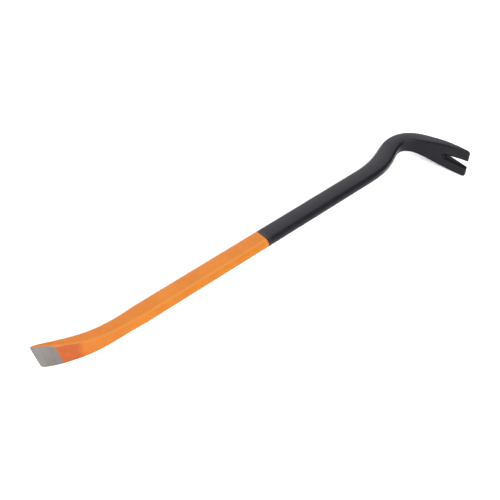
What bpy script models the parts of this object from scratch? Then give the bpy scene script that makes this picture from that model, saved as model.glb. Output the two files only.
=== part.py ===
"""Pry bar, also called a wrecking bar: one forged steel bar under two coats of paint.

The bar lies on its side on the plane Z = 0. All its bends are in planes parallel to XY, and the
straight shank runs along X. The chisel is at -X. At +X the gooseneck hooks round, so that the
claw points towards -Y. The origin is under the middle of the bar's bounding box. Units: metres.

A place on the bar is given by its distance along the centreline, from 0 at the chisel's edge to
PATH_LENGTH at the claw's tips. "Depth" is the size of a section in the plane of the bends, and
"width" is its size along Z.
"""

import math

import bmesh
import bpy
import numpy as np
from mathutils import Matrix, Vector

OBJECT_NAME = "pry_bar"

# Centreline: its length, and three bends, each given by its middle, half its length and its angle.
PATH_LENGTH = 0.673
CHISEL_BEND = (0.0580, 0.0540, math.radians(23.3))
NECK_BEND = (0.5090, 0.0476, math.radians(23.8))
HOOK_BEND = (0.5763, 0.0449, math.radians(-97.2))
CLAW_CURL = math.radians(-10.1)  # spread evenly from the hook's middle to the tips

# Shank section: a flat oval.
SHANK_DEPTH = 0.0243
SHANK_WIDTH = 0.0122
SHANK_NOSE = 0.0043  # how far each rounded side stands out from the flats

# Chisel: flares in width and thins in depth from the shank to its edge.
CHISEL_WIDTH = 0.0353
CHISEL_DEPTH = 0.0030  # at the edge, before grinding
CHISEL_FLARE_LENGTH = 0.124
CHISEL_TAPER_LENGTH = 0.124
CHISEL_SKEW = math.radians(9.5)  # the edge runs this far out of square
SKEW_LENGTH = 0.095  # from the edge to where the sections are square again
CHISEL_CORNER = 0.0040
BEVEL_LENGTH = 0.0245  # bare ground face on the hook's side
EDGE_DEPTH = 0.0010  # left at the edge after grinding

# Claw: flares in width and thins in depth from the hook to its two tips.
CLAW_WIDTH = 0.0396
CLAW_DEPTH = 0.0020
CLAW_FLARE_START = 0.517
CLAW_TAPER_START = 0.508
CLAW_CORNER = 0.0031
SLOT_LENGTH = 0.0340
SLOT_WIDTH = 0.0107  # between the tips
SLOT_ROOT_RADIUS = 0.0020

# Long edges of the two blades, as rounding across the depth and across the width.
BLADE_ROUNDING = (0.0006, 0.0009)
SIDE_FLAT = 0.0003  # least half height of the flat between a section's two side roundings
MOST_ROUNDING_SHARE = 0.42  # a rounding takes at most this share of the depth
BLADE_SHARE = (0.6, 1.0)  # share of a blade's taper over which the oval section turns into a blade's

# Paint: the orange coat meets the black one at this distance from the chisel's edge.
COLOUR_CHANGE = 0.300
COAT_THICKNESS = 0.0004
GAP = 0.0003  # between neighbouring solids

# Flares and tapers: shares of their length over which the slope builds up and dies out.
CHISEL_FLARE_EASE = (0.63, 0.11)
CLAW_FLARE_EASE = (0.65, 0.33)
CHISEL_TAPER_EASE = (0.05, 0.02)
CLAW_TAPER_EASE = (0.44, 0.02)

# Mesh resolution.
CENTRELINE_STEP = 0.0005
CHISEL_STATIONS = 14
HOOK_STATIONS = 36
CLAW_STATIONS = 9
ROUNDING_STEPS = 3
RUN_OUT = 0.006  # how far cutters pass the surface they cut
WELD_DISTANCE = 0.00001
SHARP_ANGLE = math.radians(40.0)

ORANGE = (0.83, 0.27, 0.052, 1.0)
BLACK = (0.040, 0.040, 0.044, 1.0)
STEEL = (0.32, 0.31, 0.30, 1.0)

UP = Vector((0.0, 0.0, 1.0))


def clear_scene():
    """Remove whatever the file already holds."""
    for item in list(bpy.data.objects):
        bpy.data.objects.remove(item, do_unlink=True)


def new_collection(name):
    collection = bpy.data.collections.new(name)
    bpy.context.scene.collection.children.link(collection)
    return collection


def new_material(name, colour, roughness, metallic):
    material = bpy.data.materials.new(name)
    material.use_nodes = True
    shader = material.node_tree.nodes["Principled BSDF"]
    shader.inputs["Base Color"].default_value = colour
    shader.inputs["Roughness"].default_value = roughness
    shader.inputs["Metallic"].default_value = metallic
    material.diffuse_color = colour
    return material


# ---- Centreline ----------------------------------------------------------------------------


def bend_curvature(distance, bend):
    """Curvature of one bend: it builds up and dies out as a raised cosine."""
    middle, half_length, angle = bend
    place = (distance - middle) / half_length
    height = angle / (2.0 * half_length)
    return np.where(np.abs(place) < 1.0, height * (1.0 + np.cos(math.pi * place)), 0.0)


def make_centreline():
    """Distances, points and headings along the bar, run out straight past both its ends."""
    count = int(round((PATH_LENGTH + 2.0 * RUN_OUT) / CENTRELINE_STEP)) + 1
    distance = np.linspace(-RUN_OUT, PATH_LENGTH + RUN_OUT, count)
    curvature = sum(bend_curvature(distance, bend) for bend in (CHISEL_BEND, NECK_BEND, HOOK_BEND))
    curled = (distance > HOOK_BEND[0]) & (distance < PATH_LENGTH)
    curvature += np.where(curled, CLAW_CURL / (PATH_LENGTH - HOOK_BEND[0]), 0.0)

    step = np.diff(distance)
    turned = (curvature[1:] + curvature[:-1]) / 2.0 * step
    heading = np.concatenate([[0.0], np.cumsum(turned)])
    heading -= np.interp(COLOUR_CHANGE, distance, heading)
    mean_heading = (heading[1:] + heading[:-1]) / 2.0
    x = np.concatenate([[0.0], np.cumsum(step * np.cos(mean_heading))])
    y = np.concatenate([[0.0], np.cumsum(step * np.sin(mean_heading))])
    return distance, x, y, heading


CENTRELINE = make_centreline()


def place_on_bar(distance):
    """Centre point, forward direction and left-hand direction at a distance along the bar."""
    along, x, y, heading = CENTRELINE
    centre = Vector((np.interp(distance, along, x), np.interp(distance, along, y), 0.0))
    angle = float(np.interp(distance, along, heading))
    forward = Vector((math.cos(angle), math.sin(angle), 0.0))
    left = Vector((-math.sin(angle), math.cos(angle), 0.0))
    return centre, forward, left


# ---- Section sizes along the bar ------------------------------------------------------------


def ease(share, build_up, die_out):
    """0 to 1, with a slope that grows over build_up, holds, and falls over die_out."""
    share = min(max(share, 0.0), 1.0)
    area = 1.0 - (build_up + die_out) / 2.0
    if share < build_up:
        return share * share / (2.0 * build_up) / area
    if share < 1.0 - die_out:
        return (share - build_up / 2.0) / area
    return 1.0 - (1.0 - share) ** 2 / (2.0 * die_out) / area


def smooth_step(share):
    share = min(max(share, 0.0), 1.0)
    return share * share * (3.0 - 2.0 * share)


def chisel_share(distance, length):
    return (length - distance) / length


def claw_share(distance, start):
    return (distance - start) / (PATH_LENGTH - start)


def full_width(distance):
    chisel = ease(chisel_share(distance, CHISEL_FLARE_LENGTH), *CHISEL_FLARE_EASE)
    claw = ease(claw_share(distance, CLAW_FLARE_START), *CLAW_FLARE_EASE)
    return (
        SHANK_WIDTH
        + (CHISEL_WIDTH - SHANK_WIDTH) * chisel
        + (CLAW_WIDTH - SHANK_WIDTH) * claw
    )


def full_depth(distance):
    chisel = ease(chisel_share(distance, CHISEL_TAPER_LENGTH), *CHISEL_TAPER_EASE)
    claw = ease(claw_share(distance, CLAW_TAPER_START), *CLAW_TAPER_EASE)
    return (
        SHANK_DEPTH
        + (CHISEL_DEPTH - SHANK_DEPTH) * chisel
        + (CLAW_DEPTH - SHANK_DEPTH) * claw
    )


def roundings(distance):
    """Rounding of a section's corners: across its depth and across its width."""
    blade = smooth_step(chisel_share(distance, CHISEL_TAPER_LENGTH) / BLADE_SHARE[0])
    blade += smooth_step(claw_share(distance, CLAW_TAPER_START) / BLADE_SHARE[1])
    shank_height = SHANK_WIDTH / 2.0 - SIDE_FLAT
    across = SHANK_NOSE + (BLADE_ROUNDING[0] - SHANK_NOSE) * blade
    upward = shank_height + (BLADE_ROUNDING[1] - shank_height) * blade
    across = min(across, MOST_ROUNDING_SHARE * full_depth(distance))
    return across, upward


def corner_inset(past_corner, radius):
    """How much a rounded blade corner narrows the blade, past the start of its arc."""
    if past_corner <= 0.0:
        return 0.0
    return radius - math.sqrt(max(radius * radius - past_corner * past_corner, 0.0))


def half_width(distance, grow):
    """Half the width of the bar's surface moved out by grow, with the blades' corners rounded."""
    past_chisel_corner = min(CHISEL_CORNER - distance, CHISEL_CORNER)
    past_claw_corner = distance - (PATH_LENGTH - CLAW_CORNER)
    inset = corner_inset(past_chisel_corner, CHISEL_CORNER + grow)
    inset += corner_inset(past_claw_corner, CLAW_CORNER + grow)
    return full_width(distance) / 2.0 + grow - inset


def section_outline(distance, grow):
    """Corner-rounded rectangle, as (left, up) pairs; the shank's tall roundings make it oval."""
    depth = full_depth(distance) / 2.0 + grow
    width = half_width(distance, grow)
    across, upward = (size + grow for size in roundings(distance))
    upward = min(upward, width - SIDE_FLAT)
    outline = []
    for left_sign, up_sign, quarter in ((1, 1, 0), (-1, 1, 1), (-1, -1, 2), (1, -1, 3)):
        for step in range(ROUNDING_STEPS + 1):
            angle = (quarter + step / ROUNDING_STEPS) * math.pi / 2.0
            left = left_sign * (depth - across) + across * math.cos(angle)
            up = up_sign * (width - upward) + upward * math.sin(angle)
            outline.append((left, up))
    return outline


def edge_skew(distance, up):
    """Shift along the bar that puts the chisel's edge out of square."""
    past_bevel = max(distance - BEVEL_LENGTH, 0.0)
    fade = max(1.0 - past_bevel / (SKEW_LENGTH - BEVEL_LENGTH), 0.0)
    return -up * math.tan(CHISEL_SKEW) * fade


# ---- Solids ---------------------------------------------------------------------------------


def stations(start, end, grow):
    """Distances of the sections between start and end, closer where the bar's shape changes."""
    chisel_end = max(CHISEL_FLARE_LENGTH, CHISEL_BEND[0] + CHISEL_BEND[1])
    hook_start = NECK_BEND[0] - NECK_BEND[1]
    hook_end = HOOK_BEND[0] + HOOK_BEND[1]
    claw_arc = PATH_LENGTH - CLAW_CORNER
    quarter = [math.sin(math.pi / 2.0 * step / ROUNDING_STEPS) for step in range(ROUNDING_STEPS + 1)]
    marks = [CHISEL_CORNER * (1.0 - sine) for sine in quarter]
    marks += list(np.linspace(CHISEL_CORNER, chisel_end, CHISEL_STATIONS)[1:])
    marks.append(BEVEL_LENGTH)
    marks += list(np.linspace(hook_start, hook_end, HOOK_STATIONS))
    marks += list(np.linspace(hook_end, claw_arc, CLAW_STATIONS)[1:-1])
    marks += [claw_arc + (CLAW_CORNER + grow) * sine for sine in quarter]
    inside = [mark for mark in marks if start + GAP < mark < end - GAP]
    return [start] + sorted(inside) + [end]


def bar_loft(name, collection, start, end, grow):
    """Closed solid of the bar's surface moved out by grow, between two distances."""
    mesh = bmesh.new()
    rings = []
    for distance in stations(start, end, grow):
        centre, forward, left = place_on_bar(distance)
        ring = []
        for across, up in section_outline(distance, grow):
            point = centre + left * across + UP * up + forward * edge_skew(distance, up)
            ring.append(mesh.verts.new(point))
        rings.append(ring)
    for ring, next_ring in zip(rings, rings[1:]):
        for index, corner in enumerate(ring):
            after = (index + 1) % len(ring)
            mesh.faces.new((corner, ring[after], next_ring[after], next_ring[index]))
    mesh.faces.new(list(reversed(rings[0])))
    mesh.faces.new(rings[-1])
    bmesh.ops.recalc_face_normals(mesh, faces=mesh.faces)
    return finish_mesh(name, collection, mesh)


def finish_mesh(name, collection, mesh):
    data = bpy.data.meshes.new(name)
    mesh.to_mesh(data)
    mesh.free()
    item = bpy.data.objects.new(name, data)
    collection.objects.link(item)
    return item


def slot_cutter(name, collection, grow):
    """Prism through the claw: a V with a round root, its walls moved in by grow."""
    root_radius = SLOT_ROOT_RADIUS - grow
    reach = SLOT_LENGTH - SLOT_ROOT_RADIUS
    half_mouth = SLOT_WIDTH / 2.0
    lean = math.acos(SLOT_ROOT_RADIUS / math.hypot(half_mouth, reach)) - math.atan2(reach, half_mouth)
    mouth = reach + RUN_OUT
    mouth_half = root_radius / math.cos(lean) + mouth * math.tan(lean)

    # Local +X runs from the centre of the root towards the tips, local +Y is up.
    outline = [(mouth, -mouth_half), (mouth, mouth_half)]
    arc_start = math.pi / 2.0 + lean
    arc_turn = math.pi - 2.0 * lean
    arc_steps = 2 * ROUNDING_STEPS
    for step in range(arc_steps + 1):
        angle = arc_start + arc_turn * step / arc_steps
        outline.append((root_radius * math.cos(angle), root_radius * math.sin(angle)))

    curve = bpy.data.curves.new(name, "CURVE")
    curve.dimensions = "2D"
    curve.fill_mode = "BOTH"
    curve.extrude = SHANK_DEPTH
    spline = curve.splines.new("POLY")
    spline.points.add(len(outline) - 1)
    for point, (x, y) in zip(spline.points, outline):
        point.co = (x, y, 0.0, 1.0)
    spline.use_cyclic_u = True

    centre, forward, left = place_on_bar(PATH_LENGTH)
    drawing = bpy.data.objects.new(name + "_outline", curve)
    collection.objects.link(drawing)
    axes = Matrix((forward, UP, forward.cross(UP))).transposed().to_4x4()
    drawing.matrix_world = Matrix.Translation(centre - forward * reach) @ axes
    return curve_to_mesh(drawing, name, collection)


def curve_to_mesh(drawing, name, collection):
    """Replace a curve object by a mesh object with its caps welded on."""
    bpy.context.view_layer.update()
    graph = bpy.context.evaluated_depsgraph_get()
    data = bpy.data.meshes.new_from_object(drawing.evaluated_get(graph))
    item = bpy.data.objects.new(name, data)
    item.matrix_world = drawing.matrix_world
    collection.objects.link(item)
    bpy.data.objects.remove(drawing, do_unlink=True)
    mesh = bmesh.new()
    mesh.from_mesh(data)
    bmesh.ops.remove_doubles(mesh, verts=mesh.verts, dist=WELD_DISTANCE)
    bmesh.ops.recalc_face_normals(mesh, faces=mesh.faces)
    mesh.to_mesh(data)
    mesh.free()
    return item


def bevel_cutter(name, collection, run_back):
    """Block whose lower face is the plane of the chisel's ground bevel.

    The plane meets the bar's right-hand face in the skewed section at BEVEL_LENGTH, and leaves
    EDGE_DEPTH at the edge. run_back is how far the block goes on behind BEVEL_LENGTH.
    """
    back_centre, back_forward, back_left = place_on_bar(BEVEL_LENGTH)
    edge_centre, _, edge_left = place_on_bar(0.0)
    back = back_centre - back_left * (full_depth(BEVEL_LENGTH) / 2.0)
    edge = edge_centre + edge_left * (CHISEL_DEPTH / 2.0 - EDGE_DEPTH)
    side = (UP + back_forward * edge_skew(BEVEL_LENGTH, 1.0)).normalized()
    outward = (back - edge).cross(side).normalized()
    along = side.cross(outward)
    length = along.dot(back - edge) + RUN_OUT + run_back
    height = SHANK_DEPTH
    middle = back + along * (run_back - length / 2.0) + outward * (height / 2.0)
    axes = Matrix((along, outward, side)).transposed().to_4x4()
    size = Matrix.Diagonal((length, height, 2.0 * CHISEL_WIDTH, 1.0))
    mesh = bmesh.new()
    bmesh.ops.create_cube(mesh, size=1.0, matrix=Matrix.Translation(middle) @ axes @ size)
    bmesh.ops.recalc_face_normals(mesh, faces=mesh.faces)
    return finish_mesh(name, collection, mesh)


def cut(item, cutter):
    """Take the cutter's shape away from the item."""
    modifier = item.modifiers.new(cutter.name, "BOOLEAN")
    modifier.operation = "DIFFERENCE"
    modifier.solver = "EXACT"
    modifier.object = cutter
    cutter.hide_render = True
    cutter.display_type = "WIRE"


def make_steel_bar(parts, cutters):
    """The forging, with the slot of its claw and the bare ground face of its chisel."""
    bar = bar_loft("steel_bar", parts, 0.0, PATH_LENGTH, 0.0)
    cut(bar, bevel_cutter("bevel_cut", cutters, RUN_OUT))
    cut(bar, slot_cutter("slot_cut", cutters, 0.0))
    return bar


def make_orange_coat(parts, cutters):
    """Sleeve of paint from the chisel's edge to the colour change, ground away with the bevel."""
    end = COLOUR_CHANGE - GAP / 2.0
    coat = bar_loft("orange_coat", parts, 0.0, end, GAP + COAT_THICKNESS)
    cut(coat, bar_loft("orange_core", cutters, -RUN_OUT, end + RUN_OUT, GAP))
    cut(coat, bevel_cutter("bevel_window_cut", cutters, GAP))
    return coat


def make_black_coat(parts, cutters):
    """Cap of paint from the colour change over the gooseneck and claw, and into the slot."""
    start = COLOUR_CHANGE + GAP / 2.0
    outer = GAP + COAT_THICKNESS
    coat = bar_loft("black_coat", parts, start, PATH_LENGTH + outer, outer)
    cut(coat, slot_cutter("coat_slot_cut", cutters, outer))
    core = bar_loft("black_core", cutters, start - RUN_OUT, PATH_LENGTH + GAP, GAP)
    cut(core, slot_cutter("core_slot_cut", cutters, GAP))
    cut(coat, core)
    return coat


def finish_part(item, material):
    item.data.materials.append(material)
    item.data.shade_smooth()
    item.data.set_sharp_from_angle(angle=SHARP_ANGLE)


def rest_on_origin(parts, cutters):
    """Hang everything on one empty that brings the origin under the middle of the parts' box."""
    bpy.context.view_layer.update()
    graph = bpy.context.evaluated_depsgraph_get()
    corners = []
    for item in parts.objects:
        solid = item.evaluated_get(graph)
        corners += [solid.matrix_world @ Vector(corner) for corner in solid.bound_box]
    lows = [min(corner[axis] for corner in corners) for axis in range(3)]
    highs = [max(corner[axis] for corner in corners) for axis in range(3)]
    frame = bpy.data.objects.new(OBJECT_NAME + "_frame", None)
    bpy.context.scene.collection.objects.link(frame)
    for item in list(parts.objects) + list(cutters.objects):
        item.parent = frame
    frame.location = (-(lows[0] + highs[0]) / 2.0, -(lows[1] + highs[1]) / 2.0, -lows[2])
    bpy.context.view_layer.update()


def main():
    clear_scene()
    parts = new_collection(OBJECT_NAME)
    cutters = new_collection(OBJECT_NAME + "_cutters")
    finish_part(make_steel_bar(parts, cutters), new_material("forged_steel", STEEL, 0.38, 1.0))
    finish_part(make_orange_coat(parts, cutters), new_material("orange_paint", ORANGE, 0.45, 0.0))
    finish_part(make_black_coat(parts, cutters), new_material("black_paint", BLACK, 0.50, 0.0))
    rest_on_origin(parts, cutters)


main()
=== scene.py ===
"""Pry bar: fine surfaces, finishes, floor, lights and camera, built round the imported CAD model.

The bar lies on its side. Its surface is one loft along the same centreline as the CAD solids, made
three times: the steel core, the orange coat of paint and the black one. A place on the bar is given
in bar space: distance along the centreline from the chisel's edge, left of it, and up. "Near" is
the bar's right-hand face, which carries the chisel's ground bevel. Units: metres.
"""

import math

import bmesh
import bpy
import numpy as np
from mathutils import Matrix, Vector


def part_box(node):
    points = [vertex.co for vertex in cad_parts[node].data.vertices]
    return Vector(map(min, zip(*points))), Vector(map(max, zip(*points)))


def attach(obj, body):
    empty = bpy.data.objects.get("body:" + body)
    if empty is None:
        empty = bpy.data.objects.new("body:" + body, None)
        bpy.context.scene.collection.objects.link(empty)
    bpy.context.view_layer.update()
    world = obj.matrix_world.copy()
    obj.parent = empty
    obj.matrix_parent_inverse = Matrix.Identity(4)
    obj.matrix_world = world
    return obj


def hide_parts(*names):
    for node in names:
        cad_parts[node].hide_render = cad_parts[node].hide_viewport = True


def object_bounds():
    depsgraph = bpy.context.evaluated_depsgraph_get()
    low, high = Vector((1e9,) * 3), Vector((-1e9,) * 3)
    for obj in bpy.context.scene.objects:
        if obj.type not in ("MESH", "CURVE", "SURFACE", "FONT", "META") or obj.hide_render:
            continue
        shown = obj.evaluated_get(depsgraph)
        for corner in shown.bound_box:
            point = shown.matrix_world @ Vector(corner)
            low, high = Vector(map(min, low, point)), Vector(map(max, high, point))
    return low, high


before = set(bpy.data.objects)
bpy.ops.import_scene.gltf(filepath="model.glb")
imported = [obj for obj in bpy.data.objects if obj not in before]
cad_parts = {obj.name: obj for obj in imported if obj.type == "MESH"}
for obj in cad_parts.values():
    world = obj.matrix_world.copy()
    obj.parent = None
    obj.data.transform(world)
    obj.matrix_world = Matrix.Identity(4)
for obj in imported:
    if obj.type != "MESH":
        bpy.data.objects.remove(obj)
cad_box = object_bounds()

# ---- The bar's shape, as in the CAD source --------------------------------------------------

# Centreline: its length, and three bends, each given by its middle, half its length and its angle.
PATH_LENGTH = 0.673
CHISEL_BEND = (0.0580, 0.0540, math.radians(23.3))
NECK_BEND = (0.5090, 0.0476, math.radians(23.8))
HOOK_BEND = (0.5763, 0.0449, math.radians(-97.2))
CLAW_CURL = math.radians(-10.1)  # spread evenly from the hook's middle to the tips
CENTRELINE_STEP = 0.00025
RUN_OUT = 0.006  # how far the centreline is known past both ends

SHANK_DEPTH = 0.0243
SHANK_WIDTH = 0.0122
SHANK_NOSE = 0.0043  # how far each rounded side stands out from the flats

CHISEL_WIDTH = 0.0353
CHISEL_DEPTH = 0.0030
CHISEL_FLARE_LENGTH = 0.124
CHISEL_TAPER_LENGTH = 0.124
CHISEL_SKEW = math.radians(9.5)  # of the edge, out of square
SKEW_LENGTH = 0.095  # where that has faded out
CHISEL_CORNER = 0.0040
BEVEL_LENGTH = 0.0245
EDGE_DEPTH = 0.0010  # what the grinding leaves at the edge

CLAW_WIDTH = 0.0396
CLAW_DEPTH = 0.0020
CLAW_FLARE_START = 0.517
CLAW_TAPER_START = 0.508
CLAW_CORNER = 0.0031
SLOT_LENGTH = 0.0340
SLOT_WIDTH = 0.0107
SLOT_ROOT_RADIUS = 0.0020

BLADE_ROUNDING = (0.0006, 0.0009)  # of a blade's corners, across its depth and its width
SIDE_FLAT = 0.0003  # the least half width of the near and far faces between their roundings
MOST_ROUNDING_SHARE = 0.42  # of the depth
BLADE_SHARE = (0.6, 1.0)  # of the chisel's and the claw's taper, until the section is a blade's

# Shares of a flare's or a taper's length over which its slope builds up and dies out.
CHISEL_FLARE_EASE = (0.63, 0.11)
CLAW_FLARE_EASE = (0.65, 0.33)
CHISEL_TAPER_EASE = (0.05, 0.02)
CLAW_TAPER_EASE = (0.44, 0.02)

COLOUR_CHANGE = 0.300
CAD_GAP = 0.0003  # between the CAD coats at the colour change
CAD_COAT = 0.0007  # from the CAD steel's surface to the outside of its coats

# ---- What the fine surfaces add --------------------------------------------------------------

PAINT_FACE = 0.00064  # the paint's outside, out from the CAD steel's surface
PAINT_THICKNESS = 0.00012
PAINT_LAP = 0.00003  # the black coat lies this much prouder than the orange one
FEATHER_EDGE = 0.00002  # paint left where the bevel's grinding runs out into it
STEEL_CLEARANCE = 0.00001  # between the steel core and the paint's inside

EDGE_ROUNDING = 0.00025  # of the chisel's edge
TIP_ROUNDING = 0.00060  # of the claw's tips
TIP_INNER_CORNER = 0.0010  # where the slot's walls meet the tips
SLOT_EDGE_ROUNDING = 0.0005  # on the far face
SLOT_ROUNDING_SHARE = 0.35  # and the most that rounding takes of half the claw's depth
SLOT_CHAMFER = 0.0034  # width of the bevel round the slot on the near face
SLOT_CHAMFER_SLOPE = 0.6  # how much it sinks for its width
SLOT_CHAMFER_SHARE = 0.85  # and the most it sinks, as a share of half the claw's depth
SLOT_CHAMFER_EASE = 0.25  # share of its width over which its crest is eased
SHANK_CROWN = 0.16  # how much lower, as a share, the shank's flats are at its two sides
NECK_SQUARING = (0.470, 0.530, 0.42)  # where the rounded sides get squarer, and by which share
CLAW_DRAFT = 0.14  # slope of the claw's two narrow sides, so that its far face is the wider one
CLAW_DRAFT_START = 0.35  # where the slope begins, and over how much of the claw it builds up
CLAW_DRAFT_RISE = 0.40
CLAW_DRAFT_FALL = 0.25  # and over how much it dies out before the tips
SIDE_ROUNDING_SHARE = 0.9  # the most that a side's rounding takes of half the depth
CREASE_ANGLE = math.radians(45.0)  # how far round the side the near face's mesh columns reach
CREASE_BUILD_UP = 0.010  # past the ground bevel's border

CREST_PLACE = 0.9  # of the near side's rounding, from its outermost line towards the flat
CREST_REACH = 0.0024  # half the width of the painted highlight along the crest

SLOT_BEVEL_SHADE_SOFTNESS = 0.0004  # of the borders of the painted shade on the slot's bevel

NEAR_COLUMNS = 26  # mesh columns on half of the near face
SIDE_COLUMNS = 46  # and from there over the side to the middle of the far face
WALL_COLUMNS = 8  # on a wall of the slot
FINE_STEP = 0.00080  # between mesh rows on surfaces that show
COARSE_STEP = 0.0045  # and on surfaces under the paint
LEAST_STEP = 0.00004  # between any two mesh rows
ROUNDING_ROWS = 7  # mesh rows on each rounding at the ends
BEVEL_ROW_STEP = 0.0004  # between the mesh rows on both sides of the ground bevel's border
BEVEL_ROWS = (-4, 12)
CHAMFER_ROWS = 14  # on the slot's bevel, before its root
CHAMFER_ROW_SPAN = (1.3, 0.05)  # how far before the root, in widths of the bevel
ROOT_ROWS = 9
LEAST_TURN = 0.2  # the least total turn of a line that draws points to its bends
SHARP_ANGLE = math.radians(40.0)  # from which an edge isn't shaded smooth
TINY = 1e-9

RELIEF_HEIGHT = 0.000035  # unevenness of the forging
RELIEF_SEED = 11
RELIEF_WAVES = 28
RELIEF_LENGTHS = (0.010, 0.045)
RELIEF_GROWTH = 0.8  # power of a wave's length that its height follows
RELIEF_ENDS = (0.004, 0.020)  # none this near an end, and then the length of its build-up
RELIEF_PAST_BEVEL = (0.001, 0.012)  # the same past the ground bevel
RIDGE_HEIGHT = 0.00005  # lengthwise forging ridges inside the hook
RIDGE_PLACE = (0.585, 0.030)  # their middle and half their length
RIDGE_WAVE = 1650.0  # radians per metre across them
RIDGE_SWAY = (0.7, 90.0)  # how far they wander, and radians per metre along them
RIDGE_SECOND_WAVE = (0.6, 2700.0, 1.3)  # height against the first, radians per metre, phase


# ---- Centreline and section sizes -------------------------------------------------------------


def bend_curvature(distance, bend):
    """Curvature of one bend: it builds up and dies out as a raised cosine."""
    middle, half_length, angle = bend
    place = (distance - middle) / half_length
    height = angle / (2.0 * half_length)
    return np.where(np.abs(place) < 1.0, height * (1.0 + np.cos(math.pi * place)), 0.0)


def make_centreline():
    """Distances, points and headings along the bar, run out straight past both its ends."""
    count = int(round((PATH_LENGTH + 2.0 * RUN_OUT) / CENTRELINE_STEP)) + 1
    distance = np.linspace(-RUN_OUT, PATH_LENGTH + RUN_OUT, count)
    curvature = sum(bend_curvature(distance, bend) for bend in (CHISEL_BEND, NECK_BEND, HOOK_BEND))
    curled = (distance > HOOK_BEND[0]) & (distance < PATH_LENGTH)
    curvature += np.where(curled, CLAW_CURL / (PATH_LENGTH - HOOK_BEND[0]), 0.0)

    step = np.diff(distance)
    turned = (curvature[1:] + curvature[:-1]) / 2.0 * step
    heading = np.concatenate([[0.0], np.cumsum(turned)])
    heading -= np.interp(COLOUR_CHANGE, distance, heading)
    mean_heading = (heading[1:] + heading[:-1]) / 2.0
    x = np.concatenate([[0.0], np.cumsum(step * np.cos(mean_heading))])
    y = np.concatenate([[0.0], np.cumsum(step * np.sin(mean_heading))])
    return distance, x, y, heading


CENTRELINE = make_centreline()


def bar_origin():
    """Where the centreline's own origin lies in the row frame, from the CAD coats' boxes."""
    along, x, y, _ = CENTRELINE
    orange_low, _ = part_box("orange_coat")
    black_low, black_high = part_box("black_coat")
    black_start = COLOUR_CHANGE + CAD_GAP / 2.0
    return Vector((
        black_low.x - np.interp(black_start, along, x),
        orange_low.y + SHANK_DEPTH / 2.0 + CAD_COAT - np.interp(COLOUR_CHANGE, along, y),
        (black_low.z + black_high.z) / 2.0,
    ))


BAR_ORIGIN = bar_origin()


def ease(share, build_up, die_out):
    """0 to 1, with a slope that grows over build_up, holds, and falls over die_out."""
    share = np.clip(share, 0.0, 1.0)
    area = 1.0 - (build_up + die_out) / 2.0
    rising = share * share / (2.0 * build_up) / area
    holding = (share - build_up / 2.0) / area
    falling = 1.0 - (1.0 - share) ** 2 / (2.0 * die_out) / area
    return np.where(share < build_up, rising, np.where(share < 1.0 - die_out, holding, falling))


def smooth_step(share):
    share = np.clip(share, 0.0, 1.0)
    return share * share * (3.0 - 2.0 * share)


def chisel_share(distance, length):
    return (length - distance) / length


def claw_share(distance, start):
    return (distance - start) / (PATH_LENGTH - start)


def full_width(distance):
    chisel = ease(chisel_share(distance, CHISEL_FLARE_LENGTH), *CHISEL_FLARE_EASE)
    claw = ease(claw_share(distance, CLAW_FLARE_START), *CLAW_FLARE_EASE)
    return SHANK_WIDTH + (CHISEL_WIDTH - SHANK_WIDTH) * chisel + (CLAW_WIDTH - SHANK_WIDTH) * claw


def full_depth(distance):
    chisel = ease(chisel_share(distance, CHISEL_TAPER_LENGTH), *CHISEL_TAPER_EASE)
    claw = ease(claw_share(distance, CLAW_TAPER_START), *CLAW_TAPER_EASE)
    return SHANK_DEPTH + (CHISEL_DEPTH - SHANK_DEPTH) * chisel + (CLAW_DEPTH - SHANK_DEPTH) * claw


def blade_share(distance):
    """0 where the section is the shank's oval, 1 where it is a blade's."""
    chisel = smooth_step(chisel_share(distance, CHISEL_TAPER_LENGTH) / BLADE_SHARE[0])
    return chisel + smooth_step(claw_share(distance, CLAW_TAPER_START) / BLADE_SHARE[1])


def roundings(distance):
    """Rounding of a section's corners: across its depth and across its width."""
    blade = blade_share(distance)
    start, end, most = NECK_SQUARING
    kept = 1.0 - most * smooth_step((distance - start) / (end - start))
    shank_height = (SHANK_WIDTH / 2.0 - SIDE_FLAT) * kept
    shank_nose = SHANK_NOSE * kept
    across = shank_nose + (BLADE_ROUNDING[0] - shank_nose) * blade
    upward = shank_height + (BLADE_ROUNDING[1] - shank_height) * blade
    return np.minimum(across, MOST_ROUNDING_SHARE * full_depth(distance)), upward


def arc_inset(past_start, radius):
    """How far a quarter arc has drawn in, past_start beyond where it begins."""
    past_start = np.clip(past_start, 0.0, radius)
    return radius - np.sqrt(radius * radius - past_start * past_start)


def edge_skew(distance, up):
    """Shift along the bar that puts the chisel's edge out of square."""
    past_bevel = np.maximum(distance - BEVEL_LENGTH, 0.0)
    fade = np.clip(1.0 - past_bevel / (SKEW_LENGTH - BEVEL_LENGTH), 0.0, 1.0)
    return -up * math.tan(CHISEL_SKEW) * fade


# ---- Nail slot -----------------------------------------------------------------------------


def slot_shape(grow):
    """Centre of the slot's root, its radius and the walls' lean, for a surface moved out by grow."""
    reach = SLOT_LENGTH - SLOT_ROOT_RADIUS
    half_mouth = SLOT_WIDTH / 2.0
    lean = math.acos(SLOT_ROOT_RADIUS / math.hypot(half_mouth, reach)) - math.atan2(reach, half_mouth)
    return PATH_LENGTH - reach, SLOT_ROOT_RADIUS - grow, lean


def slot_half_width(distance, grow):
    """Half the slot's width at a distance along the bar; 0 before its root."""
    centre, radius, lean = slot_shape(grow)
    past = distance - centre
    if past <= -radius:
        return 0.0
    if past < -radius * math.sin(lean):
        return math.sqrt(radius * radius - past * past)
    return (radius + past * math.sin(lean)) / math.cos(lean)


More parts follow.
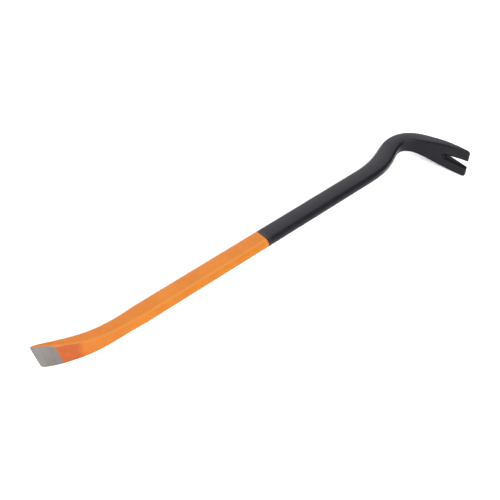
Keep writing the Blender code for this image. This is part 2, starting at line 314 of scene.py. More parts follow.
def distance_to_slot(distance, up, grow):
    """How far outside the slot a place on the upper half is; negative inside it."""
    centre, radius, lean = slot_shape(grow)
    past = distance - centre
    along_wall = past * math.cos(lean) + up * math.sin(lean)
    from_wall = up * math.cos(lean) - past * math.sin(lean) - radius
    from_root = np.hypot(past, up) - radius
    return np.where(along_wall > 0.0, from_wall, from_root)


# ---- One section -----------------------------------------------------------------------------

ARC_SAMPLES = 96
FLAT_SAMPLES = 80


def resample(left, up, count):
    """count + 1 points on a line, spaced half by its length and half by how much it turns."""
    keep = np.concatenate([[True], np.hypot(np.diff(left), np.diff(up)) > TINY])
    left, up = left[keep], up[keep]
    step_left, step_up = np.diff(left), np.diff(up)
    length = np.hypot(step_left, step_up)
    heading = np.unwrap(np.arctan2(step_up, step_left))
    turn = np.abs(np.diff(heading))
    turn_at = np.concatenate([[0.0], turn / 2.0]) + np.concatenate([turn / 2.0, [0.0]])
    measure = length / length.sum() + turn_at / max(turn_at.sum(), LEAST_TURN)
    along = np.concatenate([[0.0], np.cumsum(measure)])
    wanted = np.linspace(0.0, along[-1], count + 1)
    return np.interp(wanted, along, left), np.interp(wanted, along, up)


def slot_side_flat(start, end, rounding):
    """Heights along a flat, closer together where the slot's rounded edge is."""
    rounding = min(rounding, (end - start) / 2.0)
    arc = start + rounding * (1.0 - np.cos(np.linspace(0.0, math.pi / 2.0, ARC_SAMPLES // 2)))
    return np.concatenate([arc, np.linspace(arc[-1], end, FLAT_SAMPLES)[1:]])


def bevel_left(distance, grow):
    """The ground bevel: its place left of the centreline, for steel whose surface is moved by grow."""
    slope_start = -(full_depth(BEVEL_LENGTH) / 2.0 + grow)
    slope_end = CHISEL_DEPTH / 2.0 - EDGE_DEPTH
    return slope_end + (slope_start - slope_end) * distance / BEVEL_LENGTH


def half_section(distance, grow, steel_grow, paint_left):
    """Upper half of a section, as left and up of points from the near face's middle line, over the
    side, to the far face's. steel_grow places the ground bevel, and paint_left is the paint that
    its grinding leaves."""
    tip = arc_inset(distance - (PATH_LENGTH + grow - TIP_ROUNDING), TIP_ROUNDING)
    edge = arc_inset(EDGE_ROUNDING - distance, EDGE_ROUNDING)
    corners = arc_inset(CHISEL_CORNER - distance, CHISEL_CORNER + grow)
    corners = corners + arc_inset(distance - (PATH_LENGTH - CLAW_CORNER), CLAW_CORNER + grow)
    depth = full_depth(distance) / 2.0 + grow - tip - edge
    width = full_width(distance) / 2.0 + grow - corners - edge
    across, upward = (size + grow for size in roundings(distance))
    across = min(across, SIDE_ROUNDING_SHARE * depth)
    upward = min(upward, width - SIDE_FLAT)

    inner = slot_half_width(distance, grow)
    if inner > 0.0:
        inner += arc_inset(distance - (PATH_LENGTH + grow - TIP_INNER_CORNER), TIP_INNER_CORNER)
    slot_rounding = min(SLOT_EDGE_ROUNDING, SLOT_ROUNDING_SHARE * depth)
    slot_chamfer = slot_chamfer_width(depth)

    near = -depth
    cut_angle = 0.0
    bevel = bevel_left(distance, steel_grow) - paint_left + edge
    if bevel > -depth:
        near = bevel
        cut_angle = math.acos(max(1.0 - (bevel + depth) / across, 0.0))
    crease_angle = CREASE_ANGLE * smooth_step((distance - BEVEL_LENGTH) / CREASE_BUILD_UP)
    crease_angle = max(cut_angle, float(crease_angle))

    flat_end = width - upward + upward * math.sin(cut_angle)
    flat_up = slot_side_flat(inner, flat_end, slot_chamfer)
    arc = np.linspace(cut_angle, crease_angle, ARC_SAMPLES)
    near_left = np.concatenate([np.full(len(flat_up), near), -depth + across * (1.0 - np.cos(arc))])
    near_left = np.maximum(near_left, near)
    near_up = np.concatenate([flat_up, width - upward + upward * np.sin(arc)])

    arc = np.linspace(crease_angle, math.pi / 2.0, ARC_SAMPLES)
    far_flat = slot_side_flat(inner, width - upward, slot_rounding)[::-1]
    back = np.linspace(math.pi / 2.0, 0.0, ARC_SAMPLES)
    side_left = np.concatenate([
        np.maximum(-depth + across * (1.0 - np.cos(arc)), near),
        depth - across * (1.0 - np.cos(back)),
        np.full(len(far_flat), depth),
    ])
    side_up = np.concatenate([
        width - upward + upward * np.sin(arc),
        width - upward + upward * np.sin(back),
        far_flat,
    ])

    near_left = near_left + slot_chamfer_drop(distance_to_slot(distance, near_up, grow), slot_chamfer)
    drop = arc_inset(slot_rounding - distance_to_slot(distance, side_up, grow), slot_rounding)
    side_left = side_left - np.where(side_left > 0.0, drop, 0.0)

    near_points = resample(near_left, near_up, NEAR_COLUMNS)
    side_points = resample(side_left, side_up, SIDE_COLUMNS)
    left = np.concatenate([near_points[0], side_points[0][1:]])
    up = np.concatenate([near_points[1], side_points[1][1:]])
    up = up * (1.0 - SHANK_CROWN * (1.0 - blade_share(distance)) * (left / depth) ** 2)
    up = up + claw_draft(distance) * left * np.clip(up / width, 0.0, 1.0)
    return left, up


def claw_draft(distance):
    """Slope of the narrow sides towards the near face: none on the shank and at the tips."""
    share = claw_share(distance, CLAW_TAPER_START)
    build_up = smooth_step((share - CLAW_DRAFT_START) / CLAW_DRAFT_RISE)
    return CLAW_DRAFT * build_up * smooth_step((1.0 - share) / CLAW_DRAFT_FALL)


def slot_chamfer_width(half_depth):
    return np.minimum(SLOT_CHAMFER, SLOT_CHAMFER_SHARE * half_depth / SLOT_CHAMFER_SLOPE)


def slot_chamfer_drop(away, width):
    """How far the near face has sunk on the bevel round the slot, whose crest is eased."""
    ease_over = SLOT_CHAMFER_EASE * width
    past_crest = width - away
    eased = (np.clip(past_crest + ease_over, 0.0, 2.0 * ease_over)) ** 2 / (4.0 * ease_over)
    return SLOT_CHAMFER_SLOPE * np.where(past_crest > ease_over, past_crest, eased)


# ---- Relief of the forging ---------------------------------------------------------------------


def relief_waves():
    """Random waves, the same at every run: their wave vectors, phases and heights."""
    random = np.random.RandomState(RELIEF_SEED)
    direction = random.normal(size=(RELIEF_WAVES, 3))
    direction /= np.linalg.norm(direction, axis=1)[:, None]
    shortest, longest = RELIEF_LENGTHS
    length = shortest * (longest / shortest) ** random.uniform(size=RELIEF_WAVES)
    phase = random.uniform(0.0, 2.0 * math.pi, RELIEF_WAVES)
    height = (length / longest) ** RELIEF_GROWTH
    return direction * (2.0 * math.pi / length)[:, None], phase, height / np.sqrt((height**2).sum())


WAVE_VECTORS, WAVE_PHASES, WAVE_HEIGHTS = relief_waves()


def relief(points):
    """Height of the forging's unevenness at points in bar space."""
    waves = np.sin(points @ WAVE_VECTORS.T + WAVE_PHASES) @ WAVE_HEIGHTS
    height = RELIEF_HEIGHT * np.tanh(waves)
    distance, left, up = points.T
    middle, half_length = RIDGE_PLACE
    inside = np.clip(1.0 - ((distance - middle) / half_length) ** 2, 0.0, 1.0) * (left < 0.0)
    sway, sway_wave = RIDGE_SWAY
    second, second_wave, second_phase = RIDGE_SECOND_WAVE
    ridges = np.sin(up * RIDGE_WAVE + sway * np.sin(distance * sway_wave))
    ridges += second * np.sin(up * second_wave + second_phase)
    height += RIDGE_HEIGHT * inside * ridges
    bare, build_up = RELIEF_ENDS
    past_edge = smooth_step((distance - bare) / build_up)
    return height * past_edge * smooth_step((PATH_LENGTH - bare - distance) / build_up)


# ---- Skins --------------------------------------------------------------------------------------


def rows_between(start, end, step, grow):
    """Distances of mesh rows: even steps, with more rows at the ends, the bevel and the slot."""
    quarter = np.sin(np.linspace(0.0, math.pi / 2.0, ROUNDING_ROWS))
    marks = list(np.arange(start, BEVEL_LENGTH, FINE_STEP))
    marks += list(np.arange(max(start, BEVEL_LENGTH), end, step))
    marks += list(EDGE_ROUNDING * (1.0 - quarter))
    marks += list(CHISEL_CORNER * (1.0 - quarter))
    marks += list(BEVEL_LENGTH + BEVEL_ROW_STEP * np.arange(*BEVEL_ROWS))
    root_centre, radius, _ = slot_shape(grow)
    marks += list(root_centre - radius - SLOT_CHAMFER * np.linspace(*CHAMFER_ROW_SPAN, CHAMFER_ROWS))
    marks += list(root_centre - radius * np.cos(np.linspace(0.0, math.pi / 2.0, ROOT_ROWS)))
    tip = PATH_LENGTH + grow
    marks += list(PATH_LENGTH - CLAW_CORNER + (CLAW_CORNER + grow) * quarter)
    marks += list(tip - TIP_INNER_CORNER * (1.0 - quarter))
    marks += list(tip - TIP_ROUNDING * (1.0 - quarter))
    marks = np.array(marks)
    marks = np.sort(marks[(marks > start) & (marks < end)])
    rows = [start]
    fixed = {BEVEL_LENGTH, root_centre - radius}
    for mark in marks:
        if mark - rows[-1] > LEAST_STEP:
            rows.append(mark)
        elif mark in fixed:
            rows[-1] = mark
    while end - rows[-1] < LEAST_STEP:
        rows.pop()
    rows.append(end)
    return np.array(rows)


class Skin:
    """The bar's surface moved out by grow, between two distances, as points and faces."""

    def __init__(self, start, end, step, grow, steel_grow, paint_left=0.0, window=False):
        self.rows = rows_between(start, end, step, grow)
        self.points = []  # arrays of (distance, left, up)
        self.count = 0
        self.faces = []
        self.window_rows = 0  # rows of the opening over the ground bevel
        if window:
            self.window_rows = int(np.searchsorted(self.rows, BEVEL_LENGTH - LEAST_STEP / 2.0))
        self.build(grow, steel_grow, paint_left)

    def add(self, points):
        """Adds points and gives their numbers."""
        points = np.asarray(points, float).reshape(-1, 3)
        self.points.append(points)
        self.count += len(points)
        return np.arange(self.count - len(points), self.count)

    def quads(self, grid, flip, skip_rows=0, skip_columns=0):
        """Faces between neighbouring rows of a grid of point numbers."""
        corners = np.stack([grid[:-1, :-1], grid[1:, :-1], grid[1:, 1:], grid[:-1, 1:]], axis=-1)
        keep = np.ones(corners.shape[:2], bool)
        keep[:skip_rows, :skip_columns] = False
        corners = corners[keep]
        self.faces += (corners[:, ::-1] if flip else corners).tolist()

    def build(self, grow, steel_grow, paint_left):
        sections = []
        for distance in self.rows:
            left, up = half_section(float(distance), grow, steel_grow, paint_left)
            sections.append(np.stack([np.full(len(left), distance), left, up], axis=1))
        sections = np.array(sections)
        sections[..., 1:] += outline_normals(sections) * self.heights(sections)[..., None]

        split = [slot_half_width(float(distance), grow) > TINY for distance in self.rows]
        self.first_split = split.index(True) if True in split else len(self.rows)
        upper = self.add(sections).reshape(sections.shape[:2])
        lower = self.add(sections * np.array([1.0, 1.0, -1.0])).reshape(sections.shape[:2])
        whole = slice(0, self.first_split)
        lower[whole, 0] = upper[whole, 0]
        lower[whole, -1] = upper[whole, -1]
        self.upper, self.lower = upper, lower
        for grid, flip in ((upper, False), (lower, True)):
            self.quads(grid, flip, self.window_rows, NEAR_COLUMNS)
        if self.first_split < len(self.rows):
            self.add_slot_walls(sections)

    def heights(self, sections):
        """Relief at the sections' points; none on the ground bevel."""
        height = relief(sections.reshape(-1, 3)).reshape(sections.shape[:2])
        bare, build_up = RELIEF_PAST_BEVEL
        fade = smooth_step((self.rows - BEVEL_LENGTH - bare) / build_up)
        height[:, : NEAR_COLUMNS + 1] *= fade[:, None]
        return height

    def add_slot_walls(self, sections):
        """The slot's two walls, which meet in its root."""
        first = self.first_split - 1
        shares = np.linspace(0.0, 1.0, WALL_COLUMNS + 1)[1:-1]
        inner_grids = []
        for mirror in (1.0, -1.0):
            rows = []
            for index in range(first, len(self.rows)):
                far = sections[index, -1] * (1.0, 1.0, mirror)
                near = sections[index, 0] * (1.0, 1.0, mirror)
                if index == first and mirror < 0.0:
                    rows.append(inner_grids[0][0])
                    continue
                rows.append(self.add([far + (near - far) * share for share in shares]))
            inner_grids.append(np.array(rows))
        for grid, inner, flip in zip((self.upper, self.lower), inner_grids, (False, True)):
            wall = np.column_stack([grid[first:, -1], inner, grid[first:, 0]])
            self.quads(wall, flip)
        self.walls = inner_grids

    def ring(self, row):
        """Point numbers once round an unsplit row: up the near face and over the top first."""
        return np.concatenate([self.upper[row], self.lower[row, 1:-1][::-1]])

    def cap_start(self):
        self.faces.append(self.ring(0).tolist())

    def cap_end(self):
        """Closes the end, which is two prongs if the slot reaches it."""
        if self.first_split >= len(self.rows):
            self.faces.append(self.ring(-1)[::-1].tolist())
            return
        upper = np.concatenate([self.upper[-1], self.walls[0][-1]])
        lower = np.concatenate([self.lower[-1], self.walls[1][-1]])
        self.faces.append(upper[::-1].tolist())
        self.faces.append(lower.tolist())


def outline_normals(sections):
    """Outward direction of each section's outline, as (left, up)."""
    tangent = np.gradient(sections[..., 1:], axis=1)
    tangent[:, 0] = (0.0, 1.0)
    tangent[:, -1] = (0.0, -1.0)
    normal = np.stack([-tangent[..., 1], tangent[..., 0]], axis=-1)
    return normal / np.maximum(np.linalg.norm(normal, axis=-1), TINY)[..., None]


def to_row_frame(points):
    """Points in bar space as places in the row frame."""
    along, x, y, heading = CENTRELINE
    distance, left, up = points.T
    angle = np.interp(distance, along, heading)
    skew = edge_skew(distance, up)
    place_x = np.interp(distance, along, x) - left * np.sin(angle) + skew * np.cos(angle)
    place_y = np.interp(distance, along, y) + left * np.cos(angle) + skew * np.sin(angle)
    return np.stack([place_x, place_y, up], axis=1) + np.array(BAR_ORIGIN)


def crest_highlight_share(points):
    """1 along the crest between the near side and the top or bottom, where the highlight is painted, 0
    from CREST_REACH away.
    """
    distance, left, up = points.T
    across, _ = roundings(distance)
    crest_left = CREST_PLACE * across - full_depth(distance) / 2.0
    away = np.hypot(left - crest_left, np.abs(up) - full_width(distance) / 2.0)
    return 1.0 - smooth_step(away / CREST_REACH)


def slot_bevel_shade_share(points):
    """1 on the bevel round the slot, where the shade is painted, 0 elsewhere."""
    distance, left, up = points.T
    away = distance_to_slot(distance, np.abs(up), PAINT_FACE)
    width = slot_chamfer_width(full_depth(distance) / 2.0 + PAINT_FACE)
    inside = smooth_step(away / SLOT_BEVEL_SHADE_SOFTNESS)
    inside *= smooth_step((width - away) / SLOT_BEVEL_SHADE_SOFTNESS)
    return inside * (left < 0.0)


def make_piece(name, points, faces, near_face, material):
    """A mesh object of the points that its faces use.

    For its material the points also carry their place in bar space and three shares from 0 to 1.
    """
    used = np.zeros(len(points), bool)
    used[np.concatenate(faces)] = True
    number = (np.cumsum(used) - 1).tolist()
    faces = [[number[corner] for corner in face] for face in faces]
    points, near_face = points[used], near_face[used]
    data = bpy.data.meshes.new(name)
    data.from_pydata(to_row_frame(points).tolist(), [], faces)
    place = data.attributes.new("bar_place", "FLOAT_VECTOR", "POINT")
    place.data.foreach_set("vector", points.astype(np.float32).ravel())
    for share_name, shares in (
        ("near_face", near_face),
        # where the highlight is painted along the crest
        ("crest", crest_highlight_share(points)),
        # where the shade is painted on the bevel round the slot
        ("slot_bevel_shade", slot_bevel_shade_share(points)),
    ):
        attribute = data.attributes.new(share_name, "FLOAT", "POINT")
        attribute.data.foreach_set("value", shares.astype(np.float32))
    data.materials.append(material)
    data.shade_smooth()
    data.set_sharp_from_angle(angle=SHARP_ANGLE)
    piece = bpy.data.objects.new(name, data)
    bpy.context.scene.collection.objects.link(piece)
    return piece


def near_share(skin):
    """1 at a skin's points inside its near face, 0 elsewhere."""
    near = np.zeros(skin.count)
    for grid in (skin.upper, skin.lower):
        near[grid[:, :NEAR_COLUMNS]] = 1.0
    return near


def join_skins(outer, inner):
    """Points, faces and near-face shares of an outer skin and an inner one turned inside out."""
    points = np.concatenate(outer.points + inner.points)
    turned = [[corner + outer.count for corner in reversed(face)] for face in inner.faces]
    return points, outer.faces + turned, np.concatenate([near_share(outer), near_share(inner)])


def bridge(faces, outer_loop, inner_loop, offset):
    """Adds the faces between an outer skin's border and the inner skin's, each a closed loop.

    offset is how far the inner skin's point numbers moved when the skins were joined.
    """
    inner_loop = inner_loop + offset
    corners = (outer_loop, inner_loop, np.roll(inner_loop, -1), np.roll(outer_loop, -1))
    faces.extend(np.stack(corners, axis=1).tolist())


def window_loop(skin):
    """Round the opening over the bevel, and round the side and the far face at the edge."""
    rows = slice(0, skin.window_rows + 1)
    return np.concatenate([
        skin.upper[rows, NEAR_COLUMNS],
        skin.upper[skin.window_rows, :NEAR_COLUMNS][::-1],
        skin.lower[skin.window_rows, 1:NEAR_COLUMNS],
        skin.lower[rows, NEAR_COLUMNS][::-1],
        skin.lower[0, NEAR_COLUMNS + 1 : -1],
        skin.upper[0, NEAR_COLUMNS + 1 :][::-1],
    ])


def steel_core(material):
    grow = PAINT_FACE - PAINT_THICKNESS - STEEL_CLEARANCE
    skin = Skin(0.0, PATH_LENGTH + grow, COARSE_STEP, grow, grow)
    skin.cap_start()
    skin.cap_end()
    points = np.concatenate(skin.points)
    return make_piece("steel_core", points, skin.faces, near_share(skin), material)


def orange_film(material):
    outer_grow = PAINT_FACE - PAINT_LAP
    inner_grow = PAINT_FACE - PAINT_THICKNESS
    steel_grow = inner_grow - STEEL_CLEARANCE
    inner_left = STEEL_CLEARANCE / 2.0
    outer = Skin(0.0, COLOUR_CHANGE, FINE_STEP, outer_grow, steel_grow, FEATHER_EDGE, window=True)
    inner = Skin(0.0, COLOUR_CHANGE, COARSE_STEP, inner_grow, steel_grow, inner_left, window=True)
    points, faces, near = join_skins(outer, inner)
    bridge(faces, outer.ring(-1), inner.ring(-1), outer.count)
    bridge(faces, window_loop(outer), window_loop(inner), outer.count)
    return make_piece("orange_paint_film", points, faces, near, material)


def black_film(material):
    inner_grow = PAINT_FACE - PAINT_THICKNESS
    steel_grow = inner_grow - STEEL_CLEARANCE
    outer = Skin(COLOUR_CHANGE, PATH_LENGTH + PAINT_FACE, FINE_STEP, PAINT_FACE, steel_grow)
    inner = Skin(COLOUR_CHANGE, PATH_LENGTH + inner_grow, COARSE_STEP, inner_grow, steel_grow)
    outer.cap_end()
    inner.cap_end()
    points, faces, near = join_skins(outer, inner)
    bridge(faces, outer.ring(0)[::-1], inner.ring(0)[::-1], outer.count)
    return make_piece("black_paint_film", points, faces, near, material)


# ---- Materials ---------------------------------------------------------------------------------

# Colours are linear. A pair of them is mottled from the one to the other.
ORANGE = ((0.414, 0.128, 0.0138), (0.448, 0.142, 0.0160))
ORANGE_SPECK = (0.405, 0.120, 0.0125)
# Paler orange of the painted highlight along the near side's crest.
ORANGE_CREST_HIGHLIGHT = (0.452, 0.168, 0.0350)
ORANGE_SPECULAR = 0.12
PATCH_RED = ((0.290, 0.064, 0.0185), (0.385, 0.071, 0.0125))
PATCH_BORDER = (0.040, 0.056)  # distances over which the red patch beside the bevel dies out
PATCH_WANDER = 0.003  # how far its border wanders to either side
RED_SPAN = (0.010, 0.130)  # distances over which a fainter red dies out all round the chisel
FAINT_RED = 0.34
MOST_RED = 0.9

BLACK = ((0.0060, 0.0060, 0.0084), (0.0077, 0.0077, 0.0103))
BLACK_SPECK = (0.030, 0.030, 0.034)
BLACK_OVER_ORANGE = (0.055, 0.022, 0.012)
SHOW_THROUGH = 0.5  # share of that colour at the colour change
SHOW_THROUGH_LENGTH = 0.009
# Painted shade: the black is made darker still on the bevel round the slot.
BLACK_SLOT_BEVEL_SHADE = (0.0006, 0.0006, 0.0009)
BLACK_SPECULAR = 0.178
BLACK_SPECULAR_TINT = (0.93, 0.91, 1.0)

STEEL = ((0.188, 0.172, 0.165), (0.219, 0.201, 0.193))
STEEL_BAND = (0.238, 0.220, 0.211)
GRINDING_LINES = (5200.0, 400.0, 90.0)  # noise scales along the bar, left and up
GRINDING_BANDS = (260.0, 60.0, 25.0)

# Parts of a noise's range that are spread over 0 to 1.
NOISE_MIDDLE = (0.35, 0.65)
NOISE_MOST = (0.30, 0.70)
NOISE_ALL = (0.20, 0.80)
NOISE_PEAKS = (0.55, 0.75)


class Nodes:
    """Short ways to add nodes to the tree of a material or a world."""

    def __init__(self, owner, shader):
        owner.use_nodes = True
        self.owner = owner
        self.tree = owner.node_tree
        self.shader = self.tree.nodes[shader]

    def feed(self, value, socket):
        """Links another node's output to a socket, or sets it to a number, vector or colour."""
        if isinstance(value, bpy.types.NodeSocket):
            self.tree.links.new(value, socket)
        elif socket.type == "RGBA":
            socket.default_value = (*value, 1.0)
        else:
            socket.default_value = value

    def set(self, name, value):
        """Feeds one of the shader's inputs."""
        self.feed(value, self.shader.inputs[name])

    def add(self, kind, inputs=None, **settings):
        """A new node with its settings; inputs holds values by the input's name or number."""
        node = self.tree.nodes.new(kind)
        for key, value in settings.items():
            setattr(node, key, value)
        for key, value in (inputs or {}).items():
            self.feed(value, node.inputs[key])
        return node

    def place(self):
        """Place in bar space: distance along the bar, left and up."""
        return self.add("ShaderNodeAttribute", attribute_name="bar_place").outputs["Vector"]

    def share(self, name):
        """One of the shares that a piece's points carry."""
        return self.add("ShaderNodeAttribute", attribute_name=name).outputs["Fac"]

    def axis(self, vector, name):
        return self.add("ShaderNodeSeparateXYZ", {0: vector}).outputs[name]

    def scaled(self, vector, scale):
        return self.add("ShaderNodeVectorMath", {0: vector, 1: scale}, operation="MULTIPLY").outputs[0]

    def noise(self, vector, scale, detail=2.0, roughness=0.5):
        inputs = {"Vector": vector, "Scale": scale, "Detail": detail, "Roughness": roughness}
        return self.add("ShaderNodeTexNoise", inputs).outputs["Fac"]

    def spread(self, value, low, high, to_low=0.0, to_high=1.0, kind="SMOOTHSTEP"):
        """Maps low..high to to_low..to_high, clamped."""
        inputs = {"Value": value, "From Min": low, "From Max": high, "To Min": to_low, "To Max": to_high}
        return self.add("ShaderNodeMapRange", inputs, interpolation_type=kind).outputs["Result"]

    def maths(self, operation, first, second):
        return self.add("ShaderNodeMath", {0: first, 1: second}, operation=operation).outputs[0]

    def mix(self, share, first, second):
        """Colour between first and second."""
        node = self.add("ShaderNodeMix", {"Factor": share}, data_type="RGBA")
        for name, value in (("A", first), ("B", second)):
            self.feed(value, next(s for s in node.inputs if s.name == name and s.type == "RGBA"))
        return next(s for s in node.outputs if s.type == "RGBA")

    def bump(self, height, distance, strength, after=None):
        inputs = {"Height": height, "Distance": distance, "Strength": strength}
        if after is not None:
            inputs["Normal"] = after
        return self.add("ShaderNodeBump", inputs).outputs["Normal"]


def orange_paint():
    nodes = Nodes(bpy.data.materials.new("orange_paint"), "Principled BSDF")
    place = nodes.place()
    distance = nodes.axis(place, "X")

    blotch = nodes.spread(nodes.noise(place, scale=55.0, detail=3.0), *NOISE_MIDDLE)
    speck = nodes.spread(nodes.noise(place, scale=420.0), *NOISE_MOST, to_high=0.35)
    base = nodes.mix(blotch, *ORANGE)
    base = nodes.mix(speck, base, ORANGE_SPECK)

    # Painted highlight: the orange is paler along the crest of the near side.
    base = nodes.mix(nodes.share("crest"), base, ORANGE_CREST_HIGHLIGHT)

    # Beside the ground bevel the near face is a redder orange, up to a soft border.
    wander = nodes.noise(place, scale=120.0)
    wander = nodes.spread(wander, *NOISE_ALL, -PATCH_WANDER, PATCH_WANDER, kind="LINEAR")
    patch = nodes.spread(nodes.maths("ADD", distance, wander), *PATCH_BORDER, 1.0, 0.0)
    patch = nodes.maths("MULTIPLY", patch, nodes.share("near_face"))
    tint = nodes.maths("MAXIMUM", patch, nodes.spread(distance, *RED_SPAN, FAINT_RED, 0.0))
    red_blotch = nodes.spread(nodes.noise(place, scale=130.0, detail=3.0), *NOISE_MIDDLE)
    red = nodes.mix(red_blotch, *PATCH_RED)
    base = nodes.mix(nodes.maths("MULTIPLY", tint, MOST_RED), base, red)
    nodes.set("Base Color", base)
    nodes.set("Specular IOR Level", ORANGE_SPECULAR)

    satin = nodes.spread(nodes.noise(place, scale=300.0), *NOISE_MOST, to_low=0.34, to_high=0.44)
    nodes.set("Roughness", satin)
    peel = nodes.bump(nodes.noise(place, scale=650.0), distance=0.00010, strength=0.35)
    grain = nodes.noise(place, scale=2400.0, detail=1.0)
    nodes.set("Normal", nodes.bump(grain, distance=0.00003, strength=0.35, after=peel))
    return nodes.owner


def black_paint():
    nodes = Nodes(bpy.data.materials.new("black_paint"), "Principled BSDF")
    place = nodes.place()
    distance = nodes.axis(place, "X")

    blotch = nodes.spread(nodes.noise(place, scale=70.0, detail=3.0), *NOISE_MIDDLE)
    speck = nodes.spread(nodes.noise(place, scale=900.0), *NOISE_PEAKS, to_high=0.5)
    base = nodes.mix(blotch, *BLACK)
    base = nodes.mix(speck, base, BLACK_SPECK)

    # The orange under the first few millimetres of black shows through a little.
    through_end = COLOUR_CHANGE + SHOW_THROUGH_LENGTH
    through = nodes.spread(distance, COLOUR_CHANGE, through_end, SHOW_THROUGH, 0.0)
    base = nodes.mix(through, base, BLACK_OVER_ORANGE)
    # Painted shade: darker black on the bevel round the slot.
    base = nodes.mix(nodes.share("slot_bevel_shade"), base, BLACK_SLOT_BEVEL_SHADE)
    nodes.set("Base Color", base)
    nodes.set("Specular IOR Level", BLACK_SPECULAR)
    nodes.set("Specular Tint", BLACK_SPECULAR_TINT)

    satin = nodes.noise(place, scale=500.0, detail=3.0)
    nodes.set("Roughness", nodes.spread(satin, *NOISE_MOST, to_low=0.30, to_high=0.42))
    scale = nodes.noise(place, scale=240.0, detail=3.0, roughness=0.55)
    scale = nodes.bump(scale, distance=0.00022, strength=0.5)
    grain = nodes.noise(place, scale=1300.0)
    nodes.set("Normal", nodes.bump(grain, distance=0.00006, strength=0.6, after=scale))
    return nodes.owner


def ground_steel():
    """Bare steel with grinding lines across the bevel."""
    nodes = Nodes(bpy.data.materials.new("ground_steel"), "Principled BSDF")
    place = nodes.place()
    lines = nodes.noise(nodes.scaled(place, GRINDING_LINES), scale=1.0, detail=3.0, roughness=0.6)
    bands = nodes.noise(nodes.scaled(place, GRINDING_BANDS), scale=1.0)
    base = nodes.mix(nodes.spread(lines, *NOISE_MOST), *STEEL)
    base = nodes.mix(nodes.spread(bands, *NOISE_MIDDLE, to_high=0.4), base, STEEL_BAND)
    nodes.set("Base Color", base)
    nodes.set("Metallic", 1.0)
    nodes.set("Roughness", nodes.spread(lines, *NOISE_MOST, to_low=0.30, to_high=0.46))
    nodes.set("Normal", nodes.bump(lines, distance=0.00002, strength=0.5))
    return nodes.owner


# ---- Stage ---------------------------------------------------------------------------------------

FLOOR_RADIUS = 12.0
FLOOR_SEGMENTS = 96
FLOOR_GAP = 0.0002  # under the bar
FLOOR_GREYS = ((0.800, 0.800, 0.800), (0.810, 0.810, 0.810))
FLOOR_ROUGHNESS = 0.9
FLOOR_SPECULAR = 0.1
FLOOR_GLOW = 0.20  # lit from behind, which keeps it white close to the bar
WHITE = (1.0, 1.0, 1.0)

LAMPS = {  # place and power in watts
    "front_left": ((-1.50, -1.45, 1.50), 60.0),
    "front_right": ((-0.10, -1.80, 1.75), 54.0),
}
LAMP_SIZE = 1.5

WORLD_BRIGHT_WAY = (0.20, 0.80, 0.57)
WORLD_DARK_AT = 0.52
WORLD_BRIGHT_AT = 1.00
WORLD_DARK = 0.13
WORLD_BRIGHT = 3.00
WORLD_HORIZON = 0.80  # a low band all round, about as bright as the floor's far end
WORLD_HORIZON_TOP = (0.06, 0.14)  # heights between which the band dies out

CAMERA_PLACE = Vector((-0.47362, -0.48718, 0.68473))
CAMERA_PITCH = math.radians(44.527)
CAMERA_TURN = math.radians(41.617)  # its horizontal direction, from +Y towards +X
CAMERA_ROLL = math.radians(-0.237)
CAMERA_LENS = 57.6
CAMERA_SENSOR = 36.0


def make_floor():
    data = bpy.data.meshes.new("floor")
    mesh = bmesh.new()
    bmesh.ops.create_circle(mesh, cap_ends=True, segments=FLOOR_SEGMENTS, radius=FLOOR_RADIUS)
    mesh.to_mesh(data)
    mesh.free()
    floor = bpy.data.objects.new("floor", data)
    floor.location.z = cad_box[0].z - FLOOR_GAP
    bpy.context.scene.collection.objects.link(floor)
    nodes = Nodes(bpy.data.materials.new("floor_paper"), "Principled BSDF")
    place = nodes.add("ShaderNodeTexCoord").outputs["Object"]
    shade = nodes.spread(nodes.noise(place, scale=3.0), *NOISE_MOST)
    nodes.set("Base Color", nodes.mix(shade, *FLOOR_GREYS))
    nodes.set("Roughness", FLOOR_ROUGHNESS)
    nodes.set("Specular IOR Level", FLOOR_SPECULAR)
    nodes.set("Emission Color", WHITE)
    nodes.set("Emission Strength", FLOOR_GLOW)
    data.materials.append(nodes.owner)


def make_lamp(name, place, power):
    """A square soft box turned to the frame's origin."""
    light = bpy.data.lights.new(name, "AREA")
    light.shape = "SQUARE"
    light.size = LAMP_SIZE
    light.energy = power
    lamp = bpy.data.objects.new(name, light)
    lamp.location = place
    lamp.rotation_mode = "QUATERNION"
    lamp.rotation_quaternion = (-Vector(place)).to_track_quat("-Z", "Y")
    bpy.context.scene.collection.objects.link(lamp)


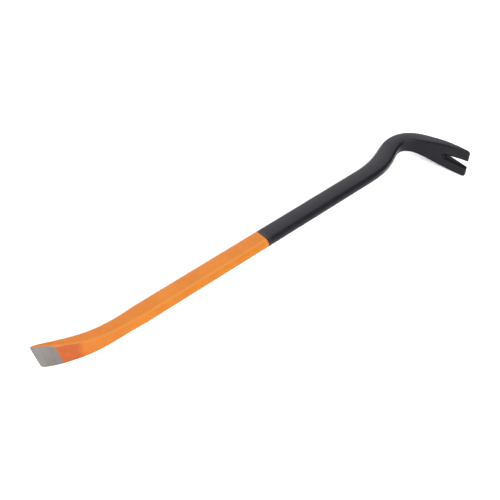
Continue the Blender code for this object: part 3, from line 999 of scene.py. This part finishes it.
def make_world():
    """Bright above and behind the bar, dark on the camera's side, pale along the horizon."""
    nodes = Nodes(bpy.data.worlds.new("studio"), "Background")
    direction = nodes.add("ShaderNodeTexCoord").outputs["Generated"]
    inputs = {0: direction, 1: WORLD_BRIGHT_WAY}
    towards = nodes.add("ShaderNodeVectorMath", inputs, operation="DOT_PRODUCT").outputs["Value"]
    strength = nodes.spread(towards, WORLD_DARK_AT, WORLD_BRIGHT_AT, WORLD_DARK, WORLD_BRIGHT)
    horizon = nodes.spread(nodes.axis(direction, "Z"), *WORLD_HORIZON_TOP, WORLD_HORIZON, 0.0)
    nodes.set("Color", WHITE)
    nodes.set("Strength", nodes.maths("MAXIMUM", strength, horizon))
    bpy.context.scene.world = nodes.owner


def make_camera():
    """Looks down on the bar from the chisel's end, on the side of the hook's opening."""
    data = bpy.data.cameras.new("camera")
    data.sensor_width = CAMERA_SENSOR
    data.lens = CAMERA_LENS
    camera = bpy.data.objects.new("camera", data)
    forward = Vector((math.sin(CAMERA_TURN), math.cos(CAMERA_TURN), 0.0))
    right = Vector((math.cos(CAMERA_TURN), -math.sin(CAMERA_TURN), 0.0))
    look = forward * math.cos(CAMERA_PITCH) - Vector((0.0, 0.0, math.sin(CAMERA_PITCH)))
    above = right.cross(look)
    up = above * math.cos(CAMERA_ROLL) + right * math.sin(CAMERA_ROLL)
    turned = Matrix((look.cross(up), up, -look)).transposed().to_4x4()
    camera.matrix_world = Matrix.Translation(CAMERA_PLACE) @ turned
    bpy.context.scene.collection.objects.link(camera)
    bpy.context.scene.camera = camera


def main():
    core = steel_core(ground_steel())
    orange = orange_film(orange_paint())
    black = black_film(black_paint())
    for piece, node, slot in (
        (core, "steel_bar", "forged_steel"),
        (orange, "orange_coat", "orange_paint"),
        (black, "black_coat", "black_paint"),
    ):
        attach(piece, "root")
        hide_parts(node)
    make_floor()
    make_world()
    for name, (place, power) in LAMPS.items():
        make_lamp(name, place, power)
    make_camera()
    bpy.context.scene.view_settings.view_transform = "Standard"


main()
